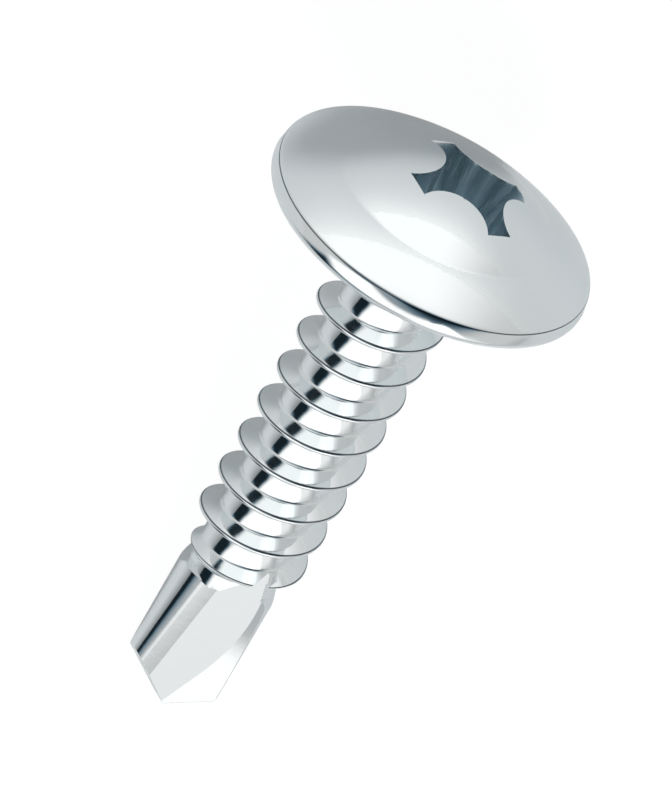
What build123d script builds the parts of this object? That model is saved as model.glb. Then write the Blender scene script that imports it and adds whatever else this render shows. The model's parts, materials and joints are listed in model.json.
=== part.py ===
from build123d import *
from math import asin, atan2, cos, hypot, radians, sin, sqrt, tan
import os

# Self-drilling screw with a modified truss (wafer) head, size 4.2 x 19 (No. 8-18 x 3/4 in).
# One piece of wire: the head is cold formed, the drill point is pinched flat between two dies
# and the thread is rolled on last.
#
# The screw is modelled upright, point at the origin and head upwards, then laid on the floor.
# All lengths are in millimetres and all angles in degrees.

# Overall
length = 19.4            # from the seat under the head to the drill point

# Head
head_diameter = 10.5
rim_round = 0.28         # round of the rim's lower edge
rim_height = 0.65        # from the seat to the crisp edge on top of the rim
rim_draft = 0.07         # the rim leans in by this much towards that edge
flange_rise = 0.81       # from the rim's edge to the foot of the dome
flange_crown = 0.05      # bulge of the flange above its straight line
dome_diameter = 7.14
dome_rise = 1.0
seat_clearance = 0.05    # the flat seat starts this far outside the thread's crests

# Cross recess, size 2
wing_span = 4.1          # across opposite wings, where they break through the dome
wing_width = 0.9
wing_taper = 26.5        # slope of the wing ends
notch_diameter = 2.14    # across the waists between the wings
recess_offset = 0.49     # the punch has struck this far off the axis, towards +X
recess_depth = 2.15      # from the top of the dome to the bottom of the wings
recess_narrowing = 4.0   # slope of the wing sides and waists
recess_point_angle = 140

# Thread
thread_diameter = 4.0
core_diameter = 2.84
thread_pitch = 25.4 / 18
flank_angle = 22
crest_width = 0.09
plain_neck = 0.6         # unthreaded length under the head
thread_fade = 0.7        # length over which the thread fades out under the head
thread_lead_in = 1.4     # length over which it rises from the drill body to its full height
side_crest_height = 5.28  # height of the lowest crest on the +X side
thread_bury = 0.12       # how far the thread's root is sunk into the core

# Drill point
drill_diameter = 3.25
drill_length = 5.45
point_angle = 105        # between the two cutting lips
relief_angle = 38.5        # fall of the end faces behind the lips
web = 0.44               # thickness between the two rake faces
cheek_offset = 0.6       # from the axis to the pinched cheeks, at the point
cheek_slope = 7.1
cheek_fillet = 0.3
flute_height = 7.3       # where the flutes run out, above the point
heel_offset = 0.256      # from the axis to the flute's sloping wall, at the point
heel_slope = 9.1
heel_turn = 25           # the sloping wall faces this far round from the rake face
rake_straight = 1.56     # straight part of the rake face
rake_runout = 18.1       # radius in which the rake face rises to the surface
flute_edge = 1.24        # from the axis to the flute's heel side, at the point
flute_edge_slope = 9.0
flute_neck = 1.42        # half width that the flute keeps past the drill body
flute_neck_height = 5.3
flute_end = 1.15         # half width at the end of the run-out

# Worked out from the sizes above
head_radius = head_diameter / 2
core_radius = core_diameter / 2
crest_radius = thread_diameter / 2
drill_radius = drill_diameter / 2
dome_radius = dome_diameter / 2
rim_edge_height = length + rim_height
dome_foot_height = rim_edge_height + flange_rise
head_top = dome_foot_height + dome_rise
neck_fillet = crest_radius + seat_clearance - core_radius
clearance = head_diameter     # reach of the cutting tools beyond the metal

# Blank: the head and the shank in one turned profile
head_slant = hypot(head_radius - rim_draft - dome_radius, flange_rise)
flange_radius = (head_slant**2 / 4 + flange_crown**2) / (2 * flange_crown)
dome_curve = (dome_radius**2 + dome_rise**2) / (2 * dome_rise)

with BuildPart() as blank:
    with BuildSketch(Plane.XZ) as half_section:
        with BuildLine():
            Line((0, drill_length), (core_radius, drill_length))
            Line((core_radius, drill_length), (core_radius, length - neck_fillet))
            TangentArc(
                (core_radius, length - neck_fillet),
                (core_radius + neck_fillet, length),
                tangent=(0, 1),
            )
            Line((core_radius + neck_fillet, length), (head_radius - rim_round, length))
            TangentArc(
                (head_radius - rim_round, length),
                (head_radius, length + rim_round),
                tangent=(1, 0),
            )
            Line((head_radius, length + rim_round), (head_radius - rim_draft, rim_edge_height))
            RadiusArc(
                (head_radius - rim_draft, rim_edge_height),
                (dome_radius, dome_foot_height),
                -flange_radius,
            )
            RadiusArc((dome_radius, dome_foot_height), (0, head_top), -dome_curve)
            Line((0, head_top), (0, drill_length))
        make_face()
    revolve(axis=Axis.Z)

# Thread: a thin fin swept up a right-hand helix, then trimmed by its own envelope
fin_depth = crest_radius - core_radius + thread_bury
half_root = crest_width / 2 + fin_depth * tan(radians(flank_angle))
helix_start = side_crest_height - thread_pitch
envelope_radius = crest_radius + thread_bury
helix_turns = int((length - helix_start) / thread_pitch) + 1

with BuildPart() as thread:
    with BuildLine(Plane.XY.offset(helix_start)) as fin_path:
        Helix(thread_pitch, thread_pitch * helix_turns, core_radius - thread_bury)
    fin_plane = Plane(origin=fin_path.line @ 0, x_dir=(1, 0, 0), z_dir=fin_path.line % 0)
    with BuildSketch(fin_plane):
        with BuildLine():
            Polyline(
                (0, -half_root),
                (fin_depth, -crest_width / 2),
                (fin_depth, crest_width / 2),
                (0, half_root),
                close=True,
            )
        make_face()
    sweep(path=fin_path.line, is_frenet=True)
    with BuildSketch(Plane.XZ) as envelope:
        with BuildLine():
            Polyline(
                (0, drill_length),
                (core_radius - thread_bury, drill_length),
                (envelope_radius, drill_length + thread_lead_in),
                (envelope_radius, length - plain_neck - thread_fade),
                (core_radius - thread_bury, length - plain_neck),
                (0, length - plain_neck),
                close=True,
            )
        make_face()
    revolve(axis=Axis.Z, mode=Mode.INTERSECT)

# Drill body: wire pinched between two dies, so that it is wider than the core and thinner
lip_fall = 1 / tan(radians(point_angle / 2))
relief_fall = tan(radians(relief_angle))
cheek_fall = tan(radians(cheek_slope))

with BuildPart() as drill_body:
    Cylinder(drill_radius, drill_length, align=(Align.CENTER, Align.CENTER, Align.MIN))
    for side in (1, -1):
        cheek = Plane(origin=(0, side * cheek_offset, 0), z_dir=(0, -side, cheek_fall))
        split(bisect_by=cheek, keep=Keep.TOP)
    cheek_edges = drill_body.edges().filter_by(lambda e: e.length > drill_length / 2)
    fillet(cheek_edges.filter_by(lambda e: abs(e.center().Y) > cheek_offset / 2), cheek_fillet)
    for side in (1, -1):
        end_face = Plane(origin=(0, 0, 0), z_dir=(-side * lip_fall, -side * relief_fall, 1))
        split(bisect_by=end_face, keep=Keep.TOP)

# Flute: what lies outside its rake face, outside its sloping heel wall and inside its outline
rake_rise = flute_height - rake_straight
rake_top = web / 2 + rake_runout - sqrt(rake_runout**2 - rake_rise**2)
heel_direction = (-sin(radians(heel_turn)), cos(radians(heel_turn)), 0)
heel_across = (cos(radians(heel_turn)), sin(radians(heel_turn)), 0)
heel_fall = tan(radians(heel_slope))
edge_fall = tan(radians(flute_edge_slope))

with BuildPart() as flute:
    with BuildSketch(Plane.YZ) as rake_side:
        with BuildLine():
            Line((web / 2, -clearance), (web / 2, rake_straight))
            TangentArc((web / 2, rake_straight), (rake_top, flute_height), tangent=(0, 1))
            Polyline(
                (rake_top, flute_height),
                (clearance, flute_height),
                (clearance, -clearance),
                (web / 2, -clearance),
            )
        make_face()
    extrude(amount=clearance, both=True)
    with BuildSketch(Plane(origin=(0, 0, 0), x_dir=heel_direction, z_dir=heel_across)):
        with BuildLine():
            Polyline(
                (heel_offset - clearance * heel_fall, -clearance),
                (heel_offset + flute_height * heel_fall, flute_height),
                (clearance, flute_height),
                (clearance, -clearance),
                close=True,
            )
        make_face()
    extrude(amount=2 * clearance, both=True, mode=Mode.INTERSECT)
    with BuildSketch(Plane.XZ) as outline:
        with BuildLine():
            Polyline(
                (flute_edge + clearance * edge_fall, -clearance),
                (flute_edge - flute_height * edge_fall, flute_height),
                (-flute_end, flute_height),
                (-flute_neck, flute_neck_height),
                (-clearance, flute_neck_height),
                (-clearance, -clearance),
                close=True,
            )
        make_face()
    extrude(amount=clearance, both=True, mode=Mode.INTERSECT)

# Cross recess: two cross outlines joined, closed by a shallow cone
opening_drop = dome_curve - sqrt(dome_curve**2 - (wing_span / 2) ** 2)
opening_height = head_top - opening_drop


def cross_outline(height):
    """Draw the recess's outline at one height, as four wings with a rounded waist between."""
    rise = height - opening_height
    reach = wing_span / 2 + rise * tan(radians(wing_taper))
    half_width = wing_width / 2 + rise * tan(radians(recess_narrowing))
    waist = (notch_diameter / 2 + rise * tan(radians(recess_narrowing))) / sqrt(2)
    corners = Vector(reach, -half_width), Vector(reach, half_width)
    next_corner = Vector(half_width, reach)
    with BuildSketch(Plane.XY.offset(height)) as outline:
        with BuildLine():
            for angle in range(45, 405, 90):
                start, end, onward, middle = (
                    point.rotate(Axis.Z, angle) + (recess_offset, 0)
                    for point in (*corners, next_corner, Vector(waist, waist))
                )
                Line(start, end)
                ThreePointArc(end, middle, onward)
        make_face()
    return outline.sketch


recess_top = head_top + rim_round
recess_floor = head_top - recess_depth
floor_radius = notch_diameter / 2 - recess_depth * tan(radians(recess_narrowing))
cone_height = floor_radius / tan(radians(recess_point_angle / 2))

with BuildPart() as recess:
    add(cross_outline(recess_top))
    add(cross_outline(recess_floor))
    loft(ruled=True)
    with Locations((recess_offset, 0, recess_floor)):
        Cone(
            0.01,
            floor_radius,
            cone_height,
            align=(Align.CENTER, Align.CENTER, Align.MAX),
        )

# The whole screw, still upright
with BuildPart() as upright:
    add(blank.part)
    add(thread.part)
    add(drill_body.part)
    with Locations(Location((0, 0, 0)), Location((0, 0, 0), (0, 0, 180))):
        add(flute.part, mode=Mode.SUBTRACT)
    add(recess.part, mode=Mode.SUBTRACT)

# The resting place: on the rim of the head, the outer corner of a lip and the corner of a heel
lip_reach = sqrt(drill_radius**2 - (web / 2) ** 2)
lip_corner = Vector(-lip_reach, web / 2, lip_fall * lip_reach - relief_fall * web / 2)

# The heel's corner is where its wall, the cheek and the end face meet
heel_gain = (cheek_offset * heel_across[0] - heel_offset) / heel_across[1]
heel_gain_rise = (cheek_fall * heel_across[0] - heel_fall) / heel_across[1]
heel_height = (lip_fall * heel_gain + relief_fall * cheek_offset) / (
    1 - lip_fall * heel_gain_rise - relief_fall * cheek_fall
)
heel_corner = Vector(
    heel_gain + heel_gain_rise * heel_height,
    cheek_offset + cheek_fall * heel_height,
    heel_height,
)

rim_depth = head_radius - rim_round
rim_height_above_lip = length + rim_round - lip_corner.Z
corner_step = heel_corner - lip_corner
corner_reach = hypot(corner_step.X, corner_step.Y)
rest_tilt = 0
for _ in range(10):
    rest_roll = atan2(corner_step.Y, corner_step.X) - asin(
        corner_step.Z / corner_reach * tan(rest_tilt)
    )
    lip_depth = lip_corner.Y * cos(rest_roll) - lip_corner.X * sin(rest_roll)
    rest_tilt = atan2(rim_depth - lip_depth, rim_height_above_lip) + asin(
        rim_round / hypot(rim_height_above_lip, rim_depth - lip_depth)
    )

lying = Plane(
    origin=(0, 0, 0),
    x_dir=(
        -sin(rest_roll) * sin(rest_tilt),
        -cos(rest_roll),
        sin(rest_roll) * cos(rest_tilt),
    ),
    z_dir=(cos(rest_tilt), 0, sin(rest_tilt)),
)
box = (lying.location * upright.part).bounding_box()
resting = Plane(
    origin=(-box.center().X, -box.center().Y, -box.min.Z),
    x_dir=lying.x_dir,
    z_dir=lying.z_dir,
)
with BuildPart(resting) as self_drilling_screw:
    add(upright.part)
self_drilling_screw.part.label = "self_drilling_screw"

os.makedirs("parts", exist_ok=True)
export_step(self_drilling_screw.part, "parts/self_drilling_screw.step")
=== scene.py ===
import bpy
import bmesh
import json
from math import asin, atan2, cos, hypot, pi, radians, sin, sqrt, tan
from mathutils import Matrix, Vector


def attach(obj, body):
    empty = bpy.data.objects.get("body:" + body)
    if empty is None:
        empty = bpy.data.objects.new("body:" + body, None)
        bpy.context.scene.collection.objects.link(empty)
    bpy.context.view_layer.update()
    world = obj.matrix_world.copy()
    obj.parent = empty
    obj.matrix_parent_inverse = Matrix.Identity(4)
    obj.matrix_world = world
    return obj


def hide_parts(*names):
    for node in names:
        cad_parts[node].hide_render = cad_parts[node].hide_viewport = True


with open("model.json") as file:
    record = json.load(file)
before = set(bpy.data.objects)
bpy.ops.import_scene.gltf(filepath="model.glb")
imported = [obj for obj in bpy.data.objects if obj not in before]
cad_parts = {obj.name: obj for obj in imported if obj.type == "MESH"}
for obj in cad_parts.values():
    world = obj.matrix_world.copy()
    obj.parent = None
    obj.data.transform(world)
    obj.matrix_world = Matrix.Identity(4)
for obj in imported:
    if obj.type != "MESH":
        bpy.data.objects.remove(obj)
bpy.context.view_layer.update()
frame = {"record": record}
mounts = {mount["name"]: mount for mount in frame["record"]["mounts"]}
mm = 0.001
joinWithin = 1e-5          # mm, points this near to each other become one
xAxis, yAxis, zAxis = Vector((1, 0, 0)), Vector((0, 1, 0)), Vector((0, 0, 1))
print("frame loaded")


# The screw is made upright, in mm, with its point at the origin and its head upwards.
# screwTurn and screwPlace lay it down on the floor, by its thread mount.

lie = {
    "threadMiddle": 12.0,  # from the point to the thread mount
    "roll": 13.39,         # degrees about the screw's own axis
}


def layDown():
    along = -Vector(mounts["thread"]["axis"]).normalized()
    point = Vector(mounts["thread"]["pos_m"]) - along * lie["threadMiddle"] * mm
    level = -yAxis
    rise = along.cross(level)
    roll = radians(lie["roll"])
    xDir = level * cos(roll) - rise * sin(roll)
    turn = Matrix((xDir, along.cross(xDir), along)).transposed()
    return turn, Matrix.Translation(point) @ turn.to_4x4() @ Matrix.Scale(mm, 4)


screwTurn, screwPlace = layDown()


# Mesh helpers

class Pen:
    # draws a chain of lines and arcs on the plane of across and up

    def __init__(self, start, across=xAxis, up=zAxis, origin=Vector((0, 0, 0))):
        self.bm = bmesh.new()
        self.across, self.up, self.origin = across, up, origin
        self.at = start
        self.tip = self.bm.verts.new(self.place(start))

    def place(self, point):
        return self.origin + self.across * point[0] + self.up * point[1]

    def line(self, *points):
        for point in points:
            self.tip = bmesh.ops.extrude_vert_indiv(self.bm, verts=[self.tip])["verts"][0]
            self.tip.co = self.place(point)
            self.at = point
        return self

    def arc(self, centre, turn, steps):  # turn in radians, from across towards up
        made = bmesh.ops.spin(
            self.bm, geom=[self.tip], cent=self.place(centre),
            axis=self.across.cross(self.up), angle=turn, steps=steps,
        )
        self.tip = [item for item in made["geom_last"] if isinstance(item, bmesh.types.BMVert)][0]
        x, y = self.at[0] - centre[0], self.at[1] - centre[1]
        self.at = (
            centre[0] + x * cos(turn) - y * sin(turn),
            centre[1] + x * sin(turn) + y * cos(turn),
        )
        return self

    def bow(self, end, radius, steps):  # arc to a point, bulging to the left of the way there
        dx, dy = end[0] - self.at[0], end[1] - self.at[1]
        chord = hypot(dx, dy)
        away = sqrt(radius**2 - chord**2 / 4)
        centre = (
            self.at[0] + dx / 2 + dy / chord * away,
            self.at[1] + dy / 2 - dx / chord * away,
        )
        return self.arc(centre, -2 * atan2(chord / 2, away), steps)

    def close(self):
        bmesh.ops.remove_doubles(self.bm, verts=self.bm.verts[:], dist=joinWithin)
        return self

    def fill(self):
        self.close()
        bmesh.ops.contextual_create(self.bm, geom=self.bm.edges[:])
        return self


def turned(pen, steps):
    bm = pen.bm
    bmesh.ops.spin(
        bm, geom=bm.verts[:] + bm.edges[:], cent=(0, 0, 0), axis=zAxis,
        angle=2 * pi, steps=steps, use_merge=True,
    )
    bmesh.ops.remove_doubles(bm, verts=bm.verts[:], dist=joinWithin)
    bmesh.ops.recalc_face_normals(bm, faces=bm.faces[:])
    return bm


def pushed(pen, by):
    bm = pen.bm
    made = bmesh.ops.extrude_face_region(bm, geom=bm.faces[:])["geom"]
    verts = [item for item in made if isinstance(item, bmesh.types.BMVert)]
    bmesh.ops.translate(bm, verts=verts, vec=by)
    bmesh.ops.recalc_face_normals(bm, faces=bm.faces[:])
    return bm


def closeHoles(bm):
    openEdges = [edge for edge in bm.edges if len(edge.link_faces) == 1]
    bmesh.ops.holes_fill(bm, edges=openEdges, sides=0)
    bmesh.ops.recalc_face_normals(bm, faces=bm.faces[:])


def trim(bm, point, keep):
    # cuts the mesh flat at a plane, keeps the side that keep points to, and closes it
    bmesh.ops.bisect_plane(
        bm, geom=bm.verts[:] + bm.edges[:] + bm.faces[:],
        plane_co=point, plane_no=keep, clear_inner=True,
    )
    closeHoles(bm)


def joinLoops(lower, upper):
    # one closed mesh between two outlines
    spare = bpy.data.meshes.new("spare")
    upper.bm.to_mesh(spare)
    bm = lower.bm
    bm.from_mesh(spare)
    bpy.data.meshes.remove(spare)
    bmesh.ops.bridge_loops(bm, edges=bm.edges[:])
    closeHoles(bm)
    return bm


def roundCorners(bm, corners, size, segments):
    bmesh.ops.bevel(
        bm, geom=corners, affect="VERTICES", offset=size,
        segments=segments, profile=0.5, material=-1,
    )


def sphereRadius(halfWidth, rise):  # of a cap that wide and high
    return (halfWidth**2 + rise**2) / (2 * rise)


def toObject(bm, name):
    mesh = bpy.data.meshes.new(name)
    bm.to_mesh(mesh)
    bm.free()
    obj = bpy.data.objects.new(name, mesh)
    bpy.context.scene.collection.objects.link(obj)
    return obj


def combine(body, tool, operation):
    cut = body.modifiers.new("combine", "BOOLEAN")
    cut.operation = operation
    cut.solver = "EXACT"
    cut.object = tool
    deps = bpy.context.evaluated_depsgraph_get()
    old = body.data
    made = bpy.data.meshes.new_from_object(body.evaluated_get(deps))
    body.modifiers.clear()
    body.data = made
    bpy.data.meshes.remove(old)


def discard(obj):
    mesh = obj.data
    bpy.data.objects.remove(obj)
    bpy.data.meshes.remove(mesh)


# Head, turned in one profile with the neck

head = {
    "seat": 19.4,          # height of the seat above the point
    "diameter": 10.5,
    "rimRound": 0.28,      # of the lower edge
    "rimHeight": 0.65,
    "rimDraft": 0.07,      # the rim leans in by this much
    "rimEdge": 0.08,       # softening of the crisp edge on top of the rim
    "flangeRise": 0.81,
    "flangeCrown": 0.05,   # bulge of the flange's slope
    "domeDiameter": 7.14,
    "domeRise": 1.0,
    "neckFillet": 0.63,
    "neckLength": 0.7,
    "neckLap": 0.004,      # the neck stands this proud of the core where they overlap
    "around": 288,
    "domeSteps": 48, "flangeSteps": 28, "edgeSteps": 5, "rimSteps": 12, "filletSteps": 10,
}

headTop = head["seat"] + head["rimHeight"] + head["flangeRise"] + head["domeRise"]
domeCurve = sphereRadius(head["domeDiameter"] / 2, head["domeRise"])


def makeHead(coreRadius):
    rim = head["diameter"] / 2
    seat = head["seat"]
    edgeHeight = seat + head["rimHeight"]
    foot = edgeHeight + head["flangeRise"]
    domeRadius = head["domeDiameter"] / 2
    slant = hypot(rim - head["rimDraft"] - domeRadius, head["flangeRise"])
    flangeCurve = sphereRadius(slant / 2, head["flangeCrown"])
    neck = coreRadius + head["neckLap"]
    fillet = head["neckFillet"]
    neckEnd = seat - head["neckLength"]
    pen = Pen((0, headTop))
    pen.bow((domeRadius, foot), domeCurve, head["domeSteps"])
    pen.bow((rim - head["rimDraft"], edgeHeight), flangeCurve, head["flangeSteps"])
    edge = pen.tip
    pen.line((rim, seat + head["rimRound"]))
    pen.arc((rim - head["rimRound"], seat + head["rimRound"]), -pi / 2, head["rimSteps"])
    pen.line((neck + fillet, seat))
    pen.arc((neck + fillet, seat - fillet), pi / 2, head["filletSteps"])
    pen.line((neck, neckEnd), (0, neckEnd))
    roundCorners(pen.bm, [edge], head["rimEdge"], head["edgeSteps"])
    return toObject(turned(pen, head["around"]), "head")


# Threaded shank: one pitch of the profile, wound up a right-hand helix

thread = {
    "diameter": 4.0,
    "core": 2.84,
    "pitch": 25.4 / 18,
    "flank": 22.0,         # degrees
    "crest": 0.13,         # width of the flat on the crest
    "crestRound": 0.045,
    "rootRound": 0.05,
    "crestHeight": 5.28,   # the lowest crest on the +X side
    "start": 5.45,         # the thread rises out of the core from here
    "leadIn": 1.4,         # and has its full height after this much
    "end": 18.8,           # and sinks back into it up here
    "fade": 0.7,
    "bury": 0.12,          # the fade starts this far below the core's surface
    "turns": 12,
    "around": 160,
    "rootSteps": 4, "crestSteps": 3,
    "bottom": 5.4,         # the shank's two ends
    "top": 18.9,
    "joinWithin": 1e-4,    # from turn to turn
}


def makeShank():
    core, crest, pitch = thread["core"] / 2, thread["diameter"] / 2, thread["pitch"]
    middle = pitch / 2
    halfCrest = thread["crest"] / 2
    halfRoot = halfCrest + (crest - core) * tan(radians(thread["flank"]))
    pen = Pen((core, 0))
    pen.line((core, middle - halfRoot))
    roots = [pen.tip]
    pen.line((crest, middle - halfCrest))
    crests = [pen.tip]
    pen.line((crest, middle + halfCrest))
    crests.append(pen.tip)
    pen.line((core, middle + halfRoot))
    roots.append(pen.tip)
    pen.line((core, pitch))
    bm = pen.bm
    roundCorners(bm, roots, thread["rootRound"], thread["rootSteps"])
    roundCorners(bm, crests, thread["crestRound"], thread["crestSteps"])
    lowest = thread["crestHeight"] - middle - pitch
    bmesh.ops.translate(bm, verts=bm.verts[:], vec=(0, 0, lowest))
    bmesh.ops.spin(
        bm, geom=bm.verts[:] + bm.edges[:], cent=(0, 0, 0), axis=zAxis,
        angle=2 * pi * thread["turns"], steps=thread["turns"] * thread["around"],
        dvec=(0, 0, pitch / thread["around"]),
    )
    bmesh.ops.remove_doubles(bm, verts=bm.verts[:], dist=thread["joinWithin"])
    fullHeight = crest - core + thread["bury"]
    for vert in bm.verts:
        radius = hypot(vert.co.x, vert.co.y)
        rise = (vert.co.z - thread["start"]) / thread["leadIn"]
        fall = (thread["end"] - vert.co.z) / thread["fade"]
        grown = min(rise, fall) * (fullHeight + thread["bury"]) - thread["bury"]
        share = max(0, min(1, grown / (crest - core)))
        newRadius = core + (radius - core) * share
        vert.co.x *= newRadius / radius
        vert.co.y *= newRadius / radius
    trim(bm, (0, 0, thread["bottom"]), zAxis)
    trim(bm, (0, 0, thread["top"]), -zAxis)
    return toObject(bm, "shank")


# Drill point, pinched flat between two dies

drill = {
    "diameter": 3.25,
    "length": 5.45,
    "land": 5.05,          # the lands lean in above this
    "landLean": 60.0,      # degrees
    "point": 105.0,        # degrees between the lips
    "relief": 38.5,        # degrees
    "cheek": 0.6,          # from the axis to a cheek, at the point
    "cheekSlope": 7.1,     # degrees
    "cheekRound": 0.85,    # of the thickness there
    "cornerSteps": 10, "landSteps": 32,
}


def cheekOutline(height):
    radius = drill["diameter"] / 2
    cheek = drill["cheek"] + height * tan(radians(drill["cheekSlope"]))
    soft = cheek * drill["cheekRound"]
    across = sqrt((radius - soft)**2 - (cheek - soft)**2)
    lean = atan2(cheek - soft, across)
    pen = Pen((-across, -cheek), xAxis, yAxis, zAxis * height)
    for side in (1, -1):
        pen.line((side * across, -side * cheek))
        pen.arc((side * across, side * (soft - cheek)), pi / 2 - lean, drill["cornerSteps"])
        pen.arc((0, 0), 2 * lean, drill["landSteps"])
        pen.arc((side * across, side * (cheek - soft)), pi / 2 - lean, drill["cornerSteps"])
    return pen.close()


def makeDrill():
    bm = joinLoops(cheekOutline(0), cheekOutline(drill["length"]))
    lipFall = 1 / tan(radians(drill["point"] / 2))
    reliefFall = tan(radians(drill["relief"]))
    for side in (1, -1):
        trim(bm, (0, 0, 0), Vector((-side * lipFall, -side * reliefFall, 1)))
        corner = (side * drill["diameter"] / 2, 0, drill["land"])
        trim(bm, corner, Vector((-side * tan(radians(drill["landLean"])), 0, -1)))
    return toObject(bm, "drill")


# Flutes: one cutter between a rake face and a sloping heel wall, used twice

flute = {
    "web": 0.44,           # metal left between the two rake faces
    "height": 7.3,
    "straight": 1.56,      # the rake face is flat up to here,
    "runout": 18.1,        # and curves out with this radius above
    "heel": 0.256,         # from the axis to the heel wall, at the point
    "heelSlope": 9.1,      # degrees
    "heelTurn": 25.0,      # degrees
    "edge": 1.24,          # from the axis to the far side
    "edgeSlope": 9.0,      # degrees
    "neck": 1.42,          # from the axis to the far end of the slant, at the neck
    "neckHeight": 5.5,     # the flute is cut off square here, under the thread,
    "tipStart": 0.0,       # but for a tip that slants up from here
    "tip": (-1.205, 7.0),  # to here, x and height
    "reach": 10.0,         # how far the cutter reaches past the metal
    "steps": 40,
}


def makeFlute():
    reach = flute["reach"]
    half = flute["web"] / 2
    straight = flute["straight"]
    turn = -asin((flute["height"] - straight) / flute["runout"])
    rake = Pen((half, -reach), yAxis, zAxis, xAxis * -reach)
    rake.line((half, straight))
    rake.arc((half + flute["runout"], straight), turn, flute["steps"])
    rake.line((reach, flute["height"]), (reach, -reach), (half, -reach))
    bm = pushed(rake.fill(), xAxis * 2 * reach)
    heelTurn = radians(flute["heelTurn"])
    facing = Vector((-sin(heelTurn), cos(heelTurn), 0))
    trim(bm, facing * flute["heel"], facing - zAxis * tan(radians(flute["heelSlope"])))
    trim(bm, xAxis * flute["edge"], -xAxis - zAxis * tan(radians(flute["edgeSlope"])))
    cutter = toObject(bm, "flute")
    # its outline from the side
    neckHeight = flute["neckHeight"]
    side = Pen((-reach, -reach), xAxis, zAxis, yAxis * -reach)
    side.line((reach, -reach), (reach, neckHeight), (flute["tipStart"], neckHeight), flute["tip"])
    side.line((-flute["neck"], neckHeight), (-reach, neckHeight), (-reach, -reach))
    outline = toObject(pushed(side.fill(), yAxis * 2 * reach), "fluteSide")
    combine(cutter, outline, "INTERSECT")
    discard(outline)
    return cutter


# Cross recess

recess = {
    "offset": 0.49,        # struck this far off the axis
    "span": 4.1,
    "wing": 0.9,           # width of a wing
    "taper": 26.5,         # degrees, of the wings' ends
    "waist": 2.14,         # across, between the wings
    "narrowing": 4.0,      # degrees, of the other walls
    "depth": 2.15,
    "point": 140.0,        # degrees, of the cone under the floor
    "above": 0.28,         # how far the cutter reaches past the dome
    "tip": 0.01,
    "arcSteps": 24, "coneSteps": 64,
}


def spoke(angle):
    return Vector((cos(angle), sin(angle)))


def crossOutline(height, opening):
    rise = height - opening
    reach = recess["span"] / 2 + rise * tan(radians(recess["taper"]))
    narrow = rise * tan(radians(recess["narrowing"]))
    half = recess["wing"] / 2 + narrow
    waist = recess["waist"] / 2 + narrow
    along = (reach + half) / sqrt(2)          # the ends of the arc, seen along its middle
    aside = (reach - half) / sqrt(2)
    radius = ((along - waist)**2 + aside**2) / (2 * (along - waist))
    turn = 2 * asin(aside / radius)
    corner = spoke(pi / 4) * reach - spoke(3 * pi / 4) * half
    pen = Pen(corner, xAxis, yAxis, zAxis * height + xAxis * recess["offset"])
    for quarter in range(4):
        angle = pi / 4 + quarter * pi / 2
        pen.line(spoke(angle) * reach + spoke(angle + pi / 2) * half)
        pen.arc(spoke(angle + pi / 4) * (waist + radius), -turn, recess["arcSteps"])
    return pen.close()


def makeRecess():
    opening = headTop - domeCurve + sqrt(domeCurve**2 - recess["span"]**2 / 4)
    floorHeight = headTop - recess["depth"]
    bottom = crossOutline(floorHeight, opening)
    cutter = toObject(joinLoops(bottom, crossOutline(headTop + recess["above"], opening)), "recess")
    floorRadius = recess["waist"] / 2 - recess["depth"] * tan(radians(recess["narrowing"]))
    deep = floorRadius / tan(radians(recess["point"] / 2))
    bm = bmesh.new()
    place = Matrix.Translation((recess["offset"], 0, floorHeight - deep / 2))
    bmesh.ops.create_cone(
        bm, cap_ends=True, segments=recess["coneSteps"], radius1=recess["tip"],
        radius2=floorRadius, depth=deep, matrix=place,
    )
    cone = toObject(bm, "recessFloor")
    combine(cutter, cone, "UNION")
    discard(cone)
    return cutter


# The whole screw

finish = {
    "sharp": 24.0,         # degrees, edges steeper than this stay crisp
    "joinWithin": 1e-7,    # m
}


def makeScrew():
    screw = makeShank()
    tools = [
        (makeHead(thread["core"] / 2), "UNION", (0,)),
        (makeDrill(), "UNION", (0,)),
        (makeFlute(), "DIFFERENCE", (0, pi)),
        (makeRecess(), "DIFFERENCE", (0,)),
    ]
    for tool, operation, angles in tools:
        for angle in angles:
            tool.rotation_euler.z = angle
            combine(screw, tool, operation)
        print(" ", tool.name, "done,", len(screw.data.polygons), "faces")
        discard(tool)
    screw.name = "zincPlatedScrew"
    screw.data.transform(screwPlace)
    bm = bmesh.new()
    bm.from_mesh(screw.data)
    bmesh.ops.remove_doubles(bm, verts=bm.verts[:], dist=finish["joinWithin"])
    bmesh.ops.triangulate(bm, faces=[face for face in bm.faces if len(face.verts) > 4])
    bm.to_mesh(screw.data)
    bm.free()
    for polygon in screw.data.polygons:
        polygon.use_smooth = True
    screw.data.set_sharp_from_angle(angle=radians(finish["sharp"]))
    return screw


screw = makeScrew()
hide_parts("self_drilling_screw")
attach(screw, "root")
print("screw made,", len(screw.data.polygons), "faces")


# Shader helpers

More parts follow.
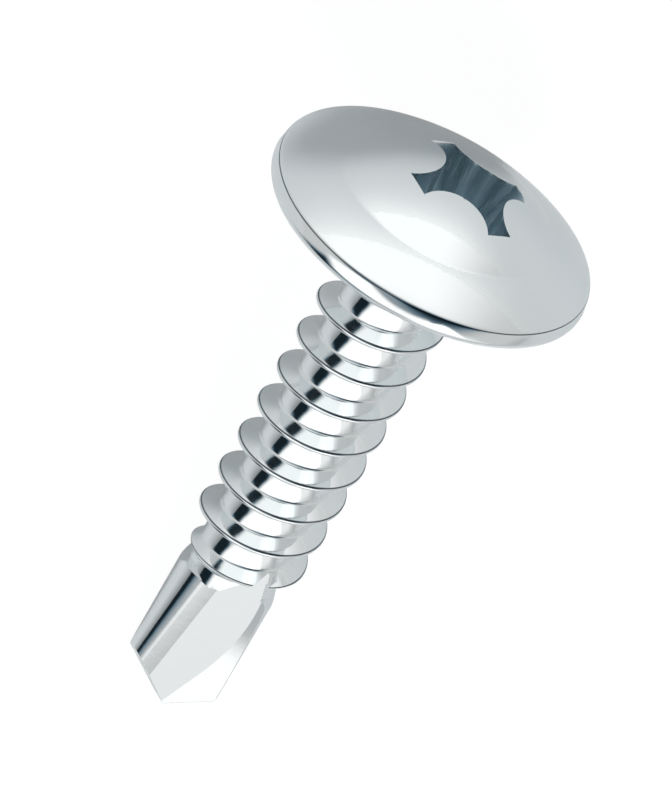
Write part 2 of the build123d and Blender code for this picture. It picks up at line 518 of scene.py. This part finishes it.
class Wire:
    # a shader socket that can be added, multiplied and so on

    def __init__(self, tree, socket):
        self.tree, self.socket = tree, socket

    def math(self, operation, *others):
        return self.tree.math(operation, self, *others)

    def __add__(self, other):
        return self.tree.math("ADD", self, other)

    def __radd__(self, other):
        return self.tree.math("ADD", other, self)

    def __sub__(self, other):
        return self.tree.math("SUBTRACT", self, other)

    def __rsub__(self, other):
        return self.tree.math("SUBTRACT", other, self)

    def __mul__(self, other):
        return self.tree.math("MULTIPLY", self, other)

    def __rmul__(self, other):
        return self.tree.math("MULTIPLY", other, self)

    def __truediv__(self, other):
        return self.tree.math("DIVIDE", self, other)

    def __rtruediv__(self, other):
        return self.tree.math("DIVIDE", other, self)

    def abs(self):
        return self.math("ABSOLUTE")

    def smooth(self, low, high):  # 0 below low, 1 above high
        return self.tree.add(
            "ShaderNodeMapRange", {"interpolation_type": "SMOOTHSTEP"},
            {"Value": self, "From Min": low, "From Max": high},
        )

    def near(self, reach, soft):  # 1 around 0, 0 further off than reach, softly
        return 1 - self.abs().smooth(reach - soft / 2, reach + soft / 2)


class Tree:
    # the nodes of a material or a world

    def __init__(self, owner):
        owner.use_nodes = True
        self.nodes, self.links = owner.node_tree.nodes, owner.node_tree.links
        self.nodes.clear()

    def add(self, kind, settings, sockets, *outs):
        node = self.nodes.new(kind)
        for key, value in settings.items():
            setattr(node, key, value)
        for key, value in sockets.items():
            if isinstance(value, Wire):
                self.links.new(value.socket, node.inputs[key])
            else:
                node.inputs[key].default_value = value
        if not node.outputs:
            return None
        wires = [Wire(self, node.outputs[out]) for out in outs or (0,)]
        return wires if len(wires) > 1 else wires[0]

    def math(self, operation, *values):
        return self.add("ShaderNodeMath", {"operation": operation}, dict(enumerate(values)))

    def mix(self, factor, first, second):  # colours
        return self.add(
            "ShaderNodeMix", {"data_type": "RGBA"}, {0: factor, 6: first, 7: second}, 2,
        )

    def split(self, vector):
        return self.add("ShaderNodeSeparateXYZ", {}, {0: vector}, "X", "Y", "Z")

    def rays(self):  # 1 for what the camera sees, and 1 for what is mirrored
        return self.add("ShaderNodeLightPath", {}, {}, "Is Camera Ray", "Is Glossy Ray")

    def scaled(self, vector, scale):
        return self.add("ShaderNodeMapping", {}, {"Vector": vector, "Scale": scale})

    def noise(self, vector, scale, detail, roughness):
        return self.add("ShaderNodeTexNoise", {}, {
            "Vector": vector, "Scale": scale, "Detail": detail, "Roughness": roughness,
        })


# Bright zinc plating

zinc = {
    "colour": (0.87, 0.9, 0.905, 1),
    "roughness": 0.075,
    "roughnessSpread": 0.05,
    "edgeRound": 0.02,             # mm, rounding of every crisp edge
    # painted shade: the recess walls get a darker, bluer colour than the plain metal
    "recessShade": (0.57, 0.68, 0.73, 1),
    "recessRoughness": 0.3,
    "recessFrom": (0.02, 0.1),     # mm under the dome, where the painted shade starts and is full
    "seatMargin": (0.05, 0.1),     # mm above the seat, the same
    "recessStreak": (0.88, 0.93, 0.95, 1),
    "streakScale": (6, 6, 0.5),    # per mm, long down the walls
    "streakNoise": (1.0, 3.0, 0.6),  # scale, detail and roughness
    "streakFrom": (0.55, 0.72),    # where the noise starts to show and is full
    "grainNoise": (2.2, 4.0, 0.55),
    "grainDepth": 0.0016,          # mm
    "dieScale": (0.7, 0.7, 9.0),   # per mm, the fine lines that the dies leave run round
    "dieNoise": (1.0, 4.0, 0.6),
    "dieDepth": 0.0004,            # mm
    # painted shade: the colour of the dark lines along the rim's edge and the crests
    "shadeLineColour": (0.1, 0.13, 0.15, 1),
    "rimLine": 0.022,              # mm, half the dark line round the rim
    "rimFrom": (4.9, 5.0),         # mm from the axis
    "crestLine": 0.022,            # mm, half the dark line on each crest
    "crestFrom": (1.5, 1.6),       # mm from the axis
    "crestAbove": (5.5, 5.7),      # mm from the point
    "crestBelow": (0.6, 0.5),      # mm under the seat
}


def thinLine(distance, half):
    return 1 - distance.abs().smooth(half / 2, half)


def recessMask(x, y, z):
    # where the recess's painted shade goes: under the dome's sphere and above the seat
    up = z - (headTop - domeCurve)
    out = (x * x + y * y + up * up).math("SQRT")
    low, high = zinc["seatMargin"]
    aboveSeat = z.smooth(head["seat"] + low, head["seat"] + high)
    return (domeCurve - out).smooth(*zinc["recessFrom"]) * aboveSeat


def shadeLineMask(x, y, z):
    # painted shade: thin dark lines round the rim, and along the upper edge of the crest
    far = (x * x + y * y).math("SQRT")
    rimHeight = head["seat"] + head["rimHeight"] - head["rimEdge"] / 4
    rim = thinLine(z - rimHeight, zinc["rimLine"]) * far.smooth(*zinc["rimFrom"])
    turn = y.math("ARCTAN2", x) / (2 * pi)
    phase = (z - thread["crestHeight"] - thread["crest"] / 2) / thread["pitch"] - turn + 0.5
    beside = (phase.math("FRACT") - 0.5) * thread["pitch"]
    low, high = zinc["crestBelow"]
    underHead = 1 - z.smooth(head["seat"] - low, head["seat"] - high)
    onShank = far.smooth(*zinc["crestFrom"]) * underHead * z.smooth(*zinc["crestAbove"])
    return rim.math("MAXIMUM", thinLine(beside, zinc["crestLine"]) * onShank)


def makeZinc():
    material = bpy.data.materials.new("brightZinc")
    tree = Tree(material)
    # the pattern follows the screw's own axes: mm from its point
    back = screwPlace.inverted()
    place = tree.add("ShaderNodeMapping", {"vector_type": "POINT"}, {
        "Vector": tree.add("ShaderNodeTexCoord", {}, {}, "Object"),
        "Location": back.translation,
        "Rotation": back.to_euler(),
        "Scale": back.to_scale(),
    })
    x, y, z = tree.split(place)
    inRecess = recessMask(x, y, z)
    streaks = tree.noise(tree.scaled(place, zinc["streakScale"]), *zinc["streakNoise"])
    grain = tree.noise(place, *zinc["grainNoise"])
    lines = tree.noise(tree.scaled(place, zinc["dieScale"]), *zinc["dieNoise"])
    # painted shade on the recess walls, broken by lighter streaks running down them
    wall = tree.mix(
        streaks.smooth(*zinc["streakFrom"]), zinc["recessShade"], zinc["recessStreak"],
    )
    colour = tree.mix(inRecess, zinc["colour"], wall)
    # painted shade lines round the rim and along the crests
    colour = tree.mix(shadeLineMask(x, y, z), colour, zinc["shadeLineColour"])
    rough = zinc["roughness"] + (grain - 0.5) * zinc["roughnessSpread"]
    rough = rough + inRecess * (zinc["recessRoughness"] - zinc["roughness"])
    height = (lines - 0.5) * zinc["dieDepth"] + (grain - 0.5) * zinc["grainDepth"]
    edges = tree.add("ShaderNodeBevel", {"samples": 4}, {"Radius": zinc["edgeRound"] * mm})
    bump = tree.add("ShaderNodeBump", {}, {
        "Height": height, "Distance": mm, "Strength": 1.0, "Normal": edges,
    })
    shader = tree.add("ShaderNodeBsdfPrincipled", {}, {
        "Base Color": colour, "Metallic": 1.0, "Roughness": rough, "Normal": bump,
    })
    tree.add("ShaderNodeOutputMaterial", {}, {"Surface": shader})
    return material


screw.data.materials.clear()
screw.data.materials.append(makeZinc())
print("plated")


# Floor

floor = {
    "size": 1.2,           # m
    "colour": (0.74, 0.76, 0.765, 1),
    "roughness": 0.14,
    "shown": 0.86,         # how much of the plain white shows to the camera over the lit floor
    "mirrored": 0.06,      # and how much the metal mirrors
    "white": 1.1,
}


def makeFloor():
    bm = bmesh.new()
    bmesh.ops.create_grid(bm, x_segments=8, y_segments=8, size=floor["size"] / 2)
    obj = toObject(bm, "floor")
    material = bpy.data.materials.new("paleFloor")
    tree = Tree(material)
    lit = tree.add("ShaderNodeBsdfPrincipled", {}, {
        "Base Color": floor["colour"], "Roughness": floor["roughness"],
    })
    white = tree.add("ShaderNodeEmission", {}, {
        "Color": (1, 1, 1, 1), "Strength": floor["white"],
    })
    camera, mirrored = tree.rays()
    share = camera * floor["shown"] + mirrored * floor["mirrored"]
    mixed = tree.add("ShaderNodeMixShader", {}, {0: share, 1: lit, 2: white})
    tree.add("ShaderNodeOutputMaterial", {}, {"Surface": mixed})
    obj.data.materials.append(material)


makeFloor()
print("floor laid")


# Studio: a pale surround with a few broad bright and dark parts, and one soft box

studio = {
    "plain": 0.36,
    # azimuth and elevation of the middle, half width, half height, softness (degrees), level
    "parts": {
        "horizon": (0, 0, 181, 40, 24, 0.62),
        "glow": (5, 8, 30, 22, 34, 1.12),
        "farSide": (160, 42, 50, 17, 8, 1.15),
        "gapSide": (152, 9, 18, 11, 8, 0.34),
        "gap": (128, 9, 12, 13, 8, 0.02),
        "nearLow": (-140, 0, 34, 8, 12, 0.5),
        "nearSide": (-155, 23, 27, 12, 12, 0.92),
        "rakeSide": (176, 22, 9, 8, 10, 0.5),
        "key": (-150, 42, 13, 9, 12, 16.0),
    },
    "seen": 1.2,                   # the key is no brighter than this where the metal mirrors it
    "overhead": {
        "azimuth": -90.0, "elevation": 72.0, "radius": 26.0, "soft": 10.0, "level": 0.03,
    },
    "tint": (0.35, 0.72, 1.0, 1),  # of the darkest parts
    "tinted": 0.6,                 # no tint above this level
}


def makeStudio():
    world = bpy.data.worlds.new("studio")
    bpy.context.scene.world = world
    tree = Tree(world)
    x, y, z = tree.split(tree.add("ShaderNodeTexCoord", {}, {}, "Generated"))
    height = z.math("ARCSINE") * (180 / pi)
    level = studio["plain"]
    for azimuth, elevation, wide, high, soft, value in studio["parts"].values():
        turn = radians(azimuth)
        ahead = x * cos(turn) + y * sin(turn)
        beside = y * cos(turn) - x * sin(turn)
        aside = beside.math("ARCTAN2", ahead) * (180 / pi)
        inside = aside.near(wide, soft) * (height - elevation).near(high, soft)
        level = level + inside * (value - level)
    over = studio["overhead"]
    turn, rise = radians(over["azimuth"]), radians(over["elevation"])
    toward = x * (cos(turn) * cos(rise)) + y * (sin(turn) * cos(rise)) + z * sin(rise)
    angle = toward.math("MINIMUM", 1.0).math("ARCCOSINE") * (180 / pi)
    inside = 1 - angle.smooth(over["radius"] - over["soft"], over["radius"] + over["soft"])
    level = level + inside * (over["level"] - level)
    camera, mirrored = tree.rays()
    level = level + mirrored * (level.math("MINIMUM", studio["seen"]) - level)
    level = level + camera * (1 - level)
    tint = tree.mix(level.smooth(0.0, studio["tinted"]), studio["tint"], (1, 1, 1, 1))
    background = tree.add("ShaderNodeBackground", {}, {"Color": tint, "Strength": level})
    tree.add("ShaderNodeOutputWorld", {}, {"Surface": background})


makeStudio()
print("lit")


# Camera

shot = {
    "width": 672, "height": 806,       # the frame, in pixels
    "seatX": 426.6, "seatY": 234.7,    # where the middle of the seat under the head falls
    "axisToSight": 58.35,              # degrees between the screw's axis and the line of sight
    "lean": 30.2,                      # degrees by which the axis leans to the right
    "distance": 210.0,                 # mm, along the line of sight
    "focal": 7000.0,                   # pixels
    "sensor": 36.0,                    # mm
    "clip": (0.01, 20.0),              # m
}


def makeCamera():
    away, lean = radians(shot["axisToSight"]), radians(shot["lean"])
    # the screw's own axes as the camera sees them: right, down, ahead
    along = Vector((sin(away) * sin(lean), -sin(away) * cos(lean), -cos(away)))
    across = Vector((cos(lean), sin(lean), 0))
    seen = Matrix((across, along.cross(across), along)).transposed()
    seatSeen = Vector((
        (shot["seatX"] - shot["width"] / 2) / shot["focal"],
        (shot["seatY"] - shot["height"] / 2) / shot["focal"],
        1,
    )) * shot["distance"]
    eye = screwPlace @ (zAxis * head["seat"] - seen.transposed() @ seatSeen)
    right, down, ahead = (screwTurn @ seen[row] for row in range(3))
    data = bpy.data.cameras.new("camera")
    data.sensor_fit = "HORIZONTAL"
    data.sensor_width = shot["sensor"]
    data.lens = shot["sensor"] * shot["focal"] / shot["width"]
    data.clip_start, data.clip_end = shot["clip"]
    camera = bpy.data.objects.new("camera", data)
    turn = Matrix((right, -down, -ahead)).transposed()
    camera.matrix_world = Matrix.Translation(eye) @ turn.to_4x4()
    bpy.context.scene.collection.objects.link(camera)
    bpy.context.scene.camera = camera


makeCamera()
bpy.context.scene.view_settings.view_transform = "Standard"
print("camera placed")
